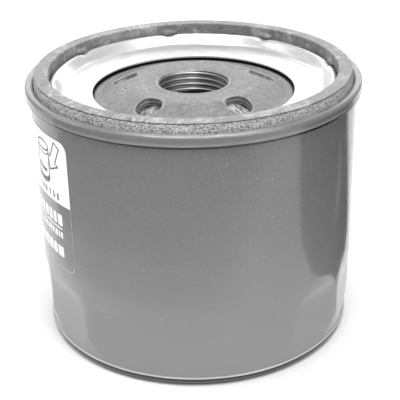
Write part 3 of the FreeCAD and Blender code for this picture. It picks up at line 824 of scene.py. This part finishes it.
# ------------------------------------------------------------------ threaded plate
ct = PLATE_T / 2
hub_z = HUB_TOP - ct
drop = 3.07
cone_in = 17.8
cone_out = cone_in + drop / math.tan(CONE)
well_z = hub_z - drop
mid = samples([(PLATE_R, 69.66 - ct), (34.2, 69.66 - ct), (31.0, 69.66 - ct - 0.53), (29.25, well_z - 0.05),
               (cone_out, well_z - 0.05), (cone_in, hub_z), (MINOR, hub_z)], [6.0, 3.6, 3.6, 3.0, 3.0])
top = [(x - nx * ct, y - ny * ct) for x, y, nx, ny in mid]
under = [(x + nx * ct, y + ny * ct) for x, y, nx, ny in mid]
if top[-1][1] < under[-1][1]:
    top, under = under, top
bore_z = [HUB_TOP - 0.35 - k * PITCH / 26 for k in range(int((HUB_TOP - 0.35 - COLLAR_BOTTOM - 0.3) / (PITCH / 26)) + 1)]
mouth = [(10.24, HUB_TOP), (10.12, HUB_TOP - 0.02), (10.00, HUB_TOP - 0.09), (9.88, HUB_TOP - 0.22)]
ring_pts = []
# counter-clockwise: down the bore is clockwise in (r, z), so the outline is built bore-up and then outwards along the top
bore = [(MINOR, z) for z in reversed(bore_z)]
collar = [(COLLAR_R, hub_z - ct - 1.5), (COLLAR_R, COLLAR_BOTTOM + 0.7), (COLLAR_R - 0.18, COLLAR_BOTTOM + 0.2),
          (COLLAR_R - 0.6, COLLAR_BOTTOM), (10.9, COLLAR_BOTTOM), (10.55, COLLAR_BOTTOM + 0.1), (10.3, COLLAR_BOTTOM + 0.25)]
neck = [(COLLAR_R + 1.5, hub_z - ct), (COLLAR_R + 0.75, hub_z - ct - 0.2), (COLLAR_R + 0.2, hub_z - ct - 0.75)]
outer_top = [p for p in reversed(top) if p[0] > 10.32]        # from the mouth outwards
outer_under = [p for p in under if p[0] > COLLAR_R + 1.6]     # from the rim inwards


def spread(pts, step):
    res = [pts[0]]
    for a, b in zip(pts, pts[1:]):
        m = max(1, int(math.ceil(math.hypot(b[0] - a[0], b[1] - a[1]) / step)))
        res += [(a[0] + (b[0] - a[0]) * k / m, a[1] + (b[1] - a[1]) * k / m) for k in range(1, m + 1)]
    return res


walk = bore + mouth[::-1] + spread(outer_top, 0.7) + spread(outer_under, 1.2) + neck + collar
walk = walk[::-1]
area = sum(a[0] * b[1] - b[0] * a[1] for a, b in zip(walk, walk[1:] + walk[:1]))
if area < 0:
    walk = walk[::-1]


def plate_warp(R, T, Z, S):
    ph = (Z / PITCH - T / (2 * math.pi)) % 1.0            # right-hand helix
    u = np.abs(ph - 0.5) * 2                               # 1 at the crest's middle, 0 at the root's
    groove = np.clip((1 - u - 0.06) / 0.84, 0, 1)
    groove = 0.5 - 0.5 * np.cos(math.pi * groove)
    in_bore = R < MINOR + 0.001
    fade = smooth(COLLAR_BOTTOM + 0.2, COLLAR_BOTTOM + 0.6, Z)
    R2 = np.where(in_bore, MINOR + DEPTH * groove, R)
    groove = groove * smooth(HUB_TOP - 0.34, HUB_TOP - 0.72, Z) * fade
    R2 = np.where(in_bore, MINOR + DEPTH * groove, R)
    ch = np.clip((Z - (HUB_TOP - 0.75)) / 0.45, 0, 1) * 0.28  # countersink runs into the first turn
    R2 = np.where(in_bore, np.maximum(R2, MINOR + ch), R2)
    # a faint stepped ring round the hub, left by the pressing tool
    ringr = np.exp(-((R - 14.3) / 0.35) ** 2) * 0.05 * (Z > HUB_TOP - 1.4)
    Z2 = Z - np.where(in_bore, 0, ringr)
    wav = 0.04 * np.sin(5 * T + 0.8) * smooth(12, 22, R) * (Z > 66.5)
    Z2 = Z2 + np.where(in_bore | (R > 27), 0, wav)
    return R2, T, Z2


def plate_group(i, pts):
    x, y = pts[i][0], pts[i][1]
    return 1 if x < 9.8 and y < HUB_TOP - 0.2 else 0


plate = lathe("threaded_plate", walk, 240, plate_warp, sharp=38, groups=plate_group)
plate.data.materials.append(M_PLATE)
plate.data.materials.append(M_CUT)

# oil inlets: punched holes with a rolled entry, cut square to the cone
cutters = []
for i in range(5):
    a = math.radians(INLET_PHASE + 72 * i)
    k = 2.0 if math.sin(a) > 0.1 else 1.0
    prof = [(0, -4.0), (INLET_R + 0.25, -4.0), (INLET_R + 0.22, -ct - 0.25), (INLET_R + 0.10, -ct + 0.45), (INLET_R, -0.05),
            (INLET_R, ct - 0.26 * k), (INLET_R + 0.02 * k, ct - 0.15 * k), (INLET_R + 0.08 * k, ct - 0.06 * k),
            (INLET_R + 0.18 * k, ct), (INLET_R + 0.30 * k, ct + 0.05), (INLET_R + 0.30 * k, 4.0), (0, 4.0)]
    c = lathe("cut_%d" % i, prof, 72, sharp=60)
    n = Vector((math.sin(CONE) * math.cos(a), math.sin(CONE) * math.sin(a), math.cos(CONE)))
    zc = hub_z - (INLET_PCR - cone_in) * math.tan(CONE)
    q = Vector((0, 0, 1)).rotation_difference(n).to_matrix().to_4x4()
    c.data.transform(Matrix.Translation(Vector((INLET_PCR * math.cos(a), INLET_PCR * math.sin(a), zc)) * MM) @ q)
    cutters.append(c)
for c in cutters:
    mod = plate.modifiers.new("inlet", "BOOLEAN")
    mod.operation = "DIFFERENCE"
    mod.solver = "EXACT"
    mod.object = c
dg = bpy.context.evaluated_depsgraph_get()
cut = bpy.data.meshes.new_from_object(plate.evaluated_get(dg))
plate.modifiers.clear()
plate.data = cut
for c in cutters:
    bpy.data.objects.remove(c)
cut.polygons.foreach_set("use_smooth", [True] * len(cut.polygons))
cut.set_sharp_from_angle(angle=math.radians(38))
wear_ids = [p.material_index for p in cut.polygons]
cut.update()
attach(plate, "housing")
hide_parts("base_plate")


# ------------------------------------------------------------------ anti-drainback valve, seen through the inlets
def valve_warp(R, T, Z, S):
    on_top = smooth(0.0, 0.5, (Z - (68.74 - (R - 16.0) * 0.373 - 1.2))) * smooth(16.6, 17.2, R) * (1 - smooth(26.5, 27.4, R))
    Z2 = Z - on_top * 0.26 * (0.5 - 0.5 * np.cos(2 * math.pi * (R - 18.0) / 1.15))
    return R, T, Z2


valve_pts = outline([(12.95, 66.84), (17.1, 66.84), (23.9, 64.05), (28.3, 64.45), (28.8, 65.2), (24.9, 65.42), (16.0, 68.74),
                     (12.95, 68.74)], [0.1, 0.8, 1.6, 0.3, 0.2, 1.2, 0.8, 0.1], step=0.22)
valve = lathe("drainback_diaphragm", valve_pts, 256, valve_warp, sharp=55)
wear(valve, M_NITRILE)
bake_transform(valve)
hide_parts("anti_drainback_valve")

# ------------------------------------------------------------------ label: printed film
LA0, LA1, LZ0, LZ1, LRC = math.radians(123.2), math.radians(223.2), 27.2, 65.8, 3.0
FILM_R = CAN_R + 0.05
WIDTH = (LA1 - LA0) * CAN_R


def on_can(u, v, r):
    """u runs round the can in mm from the label's camera-side edge, v is height in mm."""
    a = LA1 - u / CAN_R
    return (r * math.cos(a) * MM, r * math.sin(a) * MM, v * MM)


def plate_shape(name, loops, r0, r1, mat, step=0.9):
    """Thin raised shapes from closed outlines in (u, v), cut into strips that follow the wall."""
    verts, faces = [], []
    for loop in loops:
        us = [p[0] for p in loop]
        lo, hi = min(us), max(us)
        m = max(1, int(math.ceil((hi - lo) / step)))
        for k in range(m):
            a, b = lo + (hi - lo) * k / m, lo + (hi - lo) * (k + 1) / m
            poly = clip(clip(loop, a, True), b, False)
            if len(poly) < 3:
                continue
            base = len(verts)
            verts += [on_can(u, v, r1) for u, v in poly]
            faces.append(tuple(range(base, base + len(poly))))
    o = make(name, verts, faces, 60)
    o.data.flip_normals() if flipped(o, r1) else None
    wear(o, mat)
    return o


def flipped(o, r):
    p = max(o.data.polygons, key=lambda q: q.area)
    return p.normal.dot(Vector((p.center.x, p.center.y, 0))) < 0


def clip(loop, at, keep_above):
    res = []
    for a, b in zip(loop, loop[1:] + loop[:1]):
        ina = a[0] >= at - 1e-9 if keep_above else a[0] <= at + 1e-9
        inb = b[0] >= at - 1e-9 if keep_above else b[0] <= at + 1e-9
        if ina:
            res.append(a)
        if ina != inb:
            t = (at - a[0]) / (b[0] - a[0])
            res.append((at, a[1] + (b[1] - a[1]) * t))
    clean = []
    for p in res:
        if not clean or math.hypot(p[0] - clean[-1][0], p[1] - clean[-1][1]) > 1e-6:
            clean.append(p)
    if len(clean) > 1 and math.hypot(clean[0][0] - clean[-1][0], clean[0][1] - clean[-1][1]) < 1e-6:
        clean.pop()
    return clean


def rrect(u0, v0, u1, v1, r, n=8):
    pts = []
    for cx, cy, a0 in ((u1 - r, v0 + r, -90), (u1 - r, v1 - r, 0), (u0 + r, v1 - r, 90), (u0 + r, v0 + r, 180)):
        for k in range(n + 1):
            a = math.radians(a0 + 90 * k / n)
            pts.append((cx + r * math.cos(a), cy + r * math.sin(a)))
    return pts


def stroke(points, w, closed=False):
    """Quads along a polyline in (u, v), each one a closed outline."""
    res = []
    pts = points + ([points[0]] if closed else [])
    for a, b in zip(pts, pts[1:]):
        d = Vector((b[0] - a[0], b[1] - a[1]))
        if d.length < 1e-6:
            continue
        d.normalize()
        n = Vector((-d.y, d.x)) * w / 2
        e = d * w * 0.3
        res.append([(a[0] - e.x + n.x, a[1] - e.y + n.y), (a[0] - e.x - n.x, a[1] - e.y - n.y),
                    (b[0] + e.x - n.x, b[1] + e.y - n.y), (b[0] + e.x + n.x, b[1] + e.y + n.y)])
    return res


film = plate_shape("label_film_sheet", [rrect(0, LZ0, WIDTH, LZ1, LRC)], CAN_R, FILM_R, M_FILM)
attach(film, "housing")
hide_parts("label")
edge = []
rim = rrect(0.10, LZ0 + 0.10, WIDTH - 0.10, LZ1 - 0.10, LRC - 0.1)
PANEL_V = 47.2
panel = plate_shape("label_panel", [[(0.12, PANEL_V), (WIDTH - 0.12, PANEL_V)]
                                    + [p for p in rrect(0.12, LZ0, WIDTH - 0.12, LZ1 - 0.12, LRC - 0.1) if p[1] > 48]],
                    FILM_R, FILM_R + 0.012, M_WHITE)
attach(panel, "housing")
rim_path = [(0.1, PANEL_V)] + [p for p in rim if p[0] < 20 and p[1] < 46] + [(9.0, LZ0 + 0.1)]
rim_piece = plate_shape("label_rim", stroke(rim_path, 0.2), FILM_R, FILM_R + 0.012, M_EDGE)
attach(rim_piece, "housing")


def oval(cu, cv, ru, rv, a0=0, a1=360, n=28):
    return [(cu + ru * math.cos(math.radians(a0 + (a1 - a0) * k / n)), cv + rv * math.sin(math.radians(a0 + (a1 - a0) * k / n)))
            for k in range(n + 1)]


def block_arrow(u0, v0, u1, v1, tail, head, length):
    """Outline of a plain arrow from (u0, v0) to (u1, v1)."""
    d = Vector((u1 - u0, v1 - v0))
    full = d.length
    d.normalize()
    n = Vector((-d.y, d.x))
    pts = [(0, tail), (full - length, tail), (full - length, head), (full, 0), (full - length, -head), (full - length, -tail), (0, -tail)]
    return [(u0 + d.x * a + n.x * b, v0 + d.y * a + n.y * b) for a, b in pts]


# a plain pictogram: a canister with a block arrow beside it
marks = []
cu = 13.0
marks += stroke(oval(cu, 61.9, 3.6, 1.3), 0.48) + stroke(oval(cu, 60.7, 3.6, 1.3, 180, 360), 0.34)
marks += stroke([(cu + 3.6, 61.9), (cu + 3.9, 53.2)], 0.5) + stroke([(cu - 3.6, 61.9), (cu - 3.3, 53.2)], 0.55)
marks += stroke(oval(cu + 0.3, 53.2, 3.6, 1.7, 180, 360), 0.55)
marks += stroke(oval(cu + 0.3, 53.9, 3.5, 1.6, 190, 350), 0.85)
marks += stroke(oval(cu - 0.4, 56.2, 3.1, 1.4, 245, 352), 1.0)
marks += stroke(block_arrow(4.6, 64.0, 8.8, 56.2, 1.35, 2.9, 3.6), 0.46, True)
# a row of plain tally marks under it
for u, w in ((5.3, 0.8), (7.6, 0.7), (9.9, 0.7), (12.2, 0.9), (13.9, 0.8), (15.6, 0.7)):
    marks += [rrect(u, 48.2, u + w, 50.2, 0.15, 3)]
marks += [rrect(6.6, 48.9, 7.1, 49.4, 0.1, 3)]
# a second pictogram further round: a funnel and a drop
cu2 = 38.0
marks += stroke(oval(cu2, 56.6, 5.0, 5.0, 125, 415), 0.4) + stroke([(cu2 - 2.9, 60.7), (cu2, 64.2), (cu2 + 2.9, 60.7)], 0.4)
for k in range(4):
    marks += stroke([(50.0, 62.0 - 3.4 * k), (72.0 - 3 * (k % 2), 62.0 - 3.4 * k)], 0.6)
signs = plate_shape("label_signs", marks, FILM_R, FILM_R + 0.024, M_DARK, step=0.45)
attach(signs, "housing")
# plain bars where a label has its wording
bars = []
u = 4.5
for w in (2.3, 1.7, 1.9, 2.2, 1.8, 2.4):
    bars.append(rrect(u, 40.7, u + w, 44.0, 0.3, 4))
    u += w + 0.8
bars.append(rrect(4.8, 39.5, 22.0, 39.95, 0.15, 3))
u = 4.8
for w in (1.0, 0.7, 1.1, 0.5, 0.9, 1.2, 0.6, 1.0, 0.8, 1.1):
    bars.append(rrect(u, 36.8, u + w, 38.7, 0.2, 3))
    u += w + 0.5
u = 5.0
for w in (3.0, 2.2, 2.6, 2.4, 2.8, 2.2, 2.6):
    bars.append(rrect(u, 30.9, u + w, 34.1, 0.4, 4))
    u += w + 0.7
for k in range(5):
    bars.append(rrect(40.0, 43.6 - 3.0 * k, 70.0 - 6 * (k % 3), 44.6 - 3.0 * k, 0.3, 3))
words = plate_shape("label_bars", bars, FILM_R, FILM_R + 0.012, M_WHITE)
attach(words, "housing")

# ------------------------------------------------------------------ inner pieces keep their CAD shapes
for node, m in {"seam_compound": M_COMP, "spot_welds": M_WELD, "upper_end_cap": M_ZINC, "lower_end_cap": M_ZINC,
                "pleated_media": M_PAPER, "media_clip": M_CLIP, "center_tube": M_TUBE, "upper_potting": M_POT,
                "lower_potting": M_POT, "bypass_cage": M_ZINC, "bypass_poppet": M_NYLON,
                "bypass_seal": M_NITRILE}.items():
    wear(NODES[node], m)

# the two springs are copied with their CAD shapes and given their finishes
for node, m, where, a, b, z0, z1 in (
        ("element_spring", M_LEAF, "leaf_steel", "housing", "element", 0.0004, 0.0085),
        ("bypass_spring", M_SPRING, "spring_steel", "element", "bypass_valve", 0.0229, 0.0129)):
    spring = bpy.data.objects.new("v_" + node, NODES[node].data.copy())
    bpy.context.scene.collection.objects.link(spring)
    wear(spring, m)
    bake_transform(spring)
    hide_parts(node)

# ------------------------------------------------------------------ studio
def floor_mat():
    s = Shade("studio_table", rough=0.6, spec=0.3, color=grey(0.85))
    s.color(s.mix(s.span(s.noise(6, 3), 0.3, 0.7), grey(0.90), grey(0.93)))
    s.bump(s.noise(900, 3), 0.05, 0.00005)
    s.b.inputs["Emission Color"].default_value = (1, 1, 1, 1)
    s.b.inputs["Emission Strength"].default_value = 0.10
    return s.m


def card(name, corners, glossy_only=False):
    me = bpy.data.meshes.new(name)
    me.from_pydata([tuple(c * MM for c in p) for p in corners], [], [tuple(range(len(corners)))])
    o = bpy.data.objects.new(name, me)
    bpy.context.scene.collection.objects.link(o)
    if glossy_only:
        o.visible_camera = False
        o.visible_diffuse = False
        o.visible_transmission = False
        o.visible_volume_scatter = False
        o.visible_shadow = False
    return o


def card_mat(name, v):
    s = Shade(name, rough=0.9, spec=0.0, color=grey(v))
    s.color(s.mix(s.span(s.noise(8, 2), 0.3, 0.7), grey(v * 0.94), grey(v * 1.06)))
    return s.m


floor = card("studio_floor", [(-9000, -9000, -0.02), (9000, -9000, -0.02), (9000, 9000, -0.02), (-9000, 9000, -0.02)])
wear(floor, floor_mat())


def sector(a0, a1, r0, r1, z, n=12):
    """Ring sector; angles in degrees from -Y towards +X."""
    inner = [(r0 * math.sin(math.radians(a0 + (a1 - a0) * k / n)), -r0 * math.cos(math.radians(a0 + (a1 - a0) * k / n)), z)
             for k in range(n + 1)]
    outer = [(r1 * math.sin(math.radians(a1 + (a0 - a1) * k / n)), -r1 * math.cos(math.radians(a1 + (a0 - a1) * k / n)), z)
             for k in range(n + 1)]
    return inner + outer


def wedge(a0, a1, b0, b1, r0, r1, z, n=10):
    """Ring sector whose two end angles drift from a0, b0 at r0 to a1, b1 at r1; same angles as in sector."""
    at = lambda a, r: (r * math.sin(math.radians(a)), -r * math.cos(math.radians(a)), z)
    side = [(k / n, r0 + (r1 - r0) * k / n) for k in range(n + 1)]
    return [at(a0 + (a1 - a0) * t, r) for t, r in side] + [at(b0 + (b1 - b0) * t, r) for t, r in reversed(side)]


# flags and a dark card that only shiny surfaces see: they give the enamel its darker front and the patch on its right
wear(card("flag_right", [(x, y, 0.2) for x, y in ((66, -7), (72, -18), (79, -31), (99, -47), (130, -58), (152, -64), (177, -71), (330, -112),
          (330, 210), (144, 93), (128, 85), (107, 70), (89, 56), (74, 38), (69, 22), (66.5, 5))], True), card_mat("flag_black", 0.05))
# a black card on the right that the light bouncing round the table runs into
M_BLOCK = card_mat("flag_block_black", 0.03)
for name, p, q in (("flag_block", (87, -114), (143, -8)), ("flag_block_side", (143, -8), (150, 80))):
    block = card(name, [(*p, 1), (*q, 1), (*q, 150), (*p, 150)])
    block.visible_camera = False
    block.visible_glossy = False
    block.visible_transmission = False
    block.visible_shadow = False
    wear(block, M_BLOCK)
wear(card("flag_streak", [(101, 10, 0.4), (106, 13, 0.4), (162, 58, 0.4), (156, 64, 0.4), (114, 33, 0.4)], True), card_mat("flag_streak_grey", 0.4))
M_FRONT, M_NEAR = card_mat("flag_grey", 0.40), card_mat("flag_light_grey", 0.66)
wear(card("flag_front", sector(-98, 0, 112, 900, 0.1), True), M_FRONT)
wear(card("flag_front_near", sector(-98, 0, 84, 112, 0.1), True), M_NEAR)
# its right-hand end slants and fades
wear(card("flag_front_end", wedge(0, 0, 8, 27, 112, 190, 0.1), True), M_FRONT)
wear(card("flag_front_far_end", sector(0, 27, 190, 900, 0.1), True), M_FRONT)
wear(card("flag_front_near_end", wedge(0, 0, 4, 8, 84, 112, 0.1), True), M_NEAR)
for k in range(5):
    fade = card_mat("flag_fade_%d" % k, 0.48 + 0.08 * k)
    pale = card_mat("flag_pale_%d" % k, 0.70 + 0.04 * k)
    i, j = 4.0 * k, 4.0 * (k + 1)
    wear(card("flag_fade_near_%d" % k, wedge(4 + i, 8 + i, 4 + j, 8 + j, 84, 112, 0.1), True), pale)
    wear(card("flag_fade_mid_%d" % k, wedge(8 + i, 27 + i, 8 + j, 27 + j, 112, 190, 0.1), True), fade)
    wear(card("flag_fade_far_%d" % k, sector(27 + i, 27 + j, 190, 900, 0.1), True), fade)

world = bpy.data.worlds.new("studio")
world.use_nodes = True
bpy.context.scene.world = world
bg = world.node_tree.nodes["Background"]
bg.inputs[0].default_value = (1, 1, 1, 1)
bg.inputs[1].default_value = 0.62


def area_light(name, at, aim, size, power, size_y=None):
    d = bpy.data.lights.new(name, "AREA")
    d.energy = power
    d.shape = "RECTANGLE"
    d.size = size
    d.size_y = size_y or size
    o = bpy.data.objects.new(name, d)
    bpy.context.scene.collection.objects.link(o)
    o.location = Vector(at)
    o.rotation_euler = (Vector(aim) - Vector(at)).to_track_quat("-Z", "Y").to_euler()
    return o


area_light("soft_top", (0.05, -0.25, 1.1), (0, 0, 0.06), 0.9, 7.8)
area_light("soft_left", (-0.9, 0.1, 0.5), (0, 0, 0.05), 0.6, 2.1)
area_light("soft_right", (0.75, -0.75, 0.62), (0, 0, 0.05), 0.7, 5.5)
area_light("soft_back", (0.0, 2.0, 1.05), (0, 0, 0.07), 3.0, 17.5, 1.4)

# ------------------------------------------------------------------ camera
PITCH_A, PAN, ROLL = 0.4522, -0.0041, 0.0213
cam_d = bpy.data.cameras.new("camera")
cam_d.lens = 93.70
cam_d.sensor_width = 36.0
cam_d.sensor_fit = "HORIZONTAL"
cam_d.clip_start = 0.01
cam_d.clip_end = 50
cam_d.dof.use_dof = False
cam = bpy.data.objects.new("camera", cam_d)
bpy.context.scene.collection.objects.link(cam)
cp, sp = math.cos(PITCH_A), math.sin(PITCH_A)
right, down, fwd = Vector((1, 0, 0)), Vector((0, -sp, -cp)), Vector((0, cp, -sp))
pan = Matrix.Rotation(PAN, 3, "Z")
right, down, fwd = pan @ right, pan @ down, pan @ fwd
cr, sr = math.cos(ROLL), math.sin(ROLL)
r2 = cr * right + sr * down
d2 = -sr * right + cr * down
cam.matrix_world = Matrix(((r2.x, -d2.x, -fwd.x, 0), (r2.y, -d2.y, -fwd.y, -0.27505), (r2.z, -d2.z, -fwd.z, 0.168), (0, 0, 0, 1)))
bpy.context.scene.camera = cam
bpy.context.scene.view_settings.view_transform = "Standard"
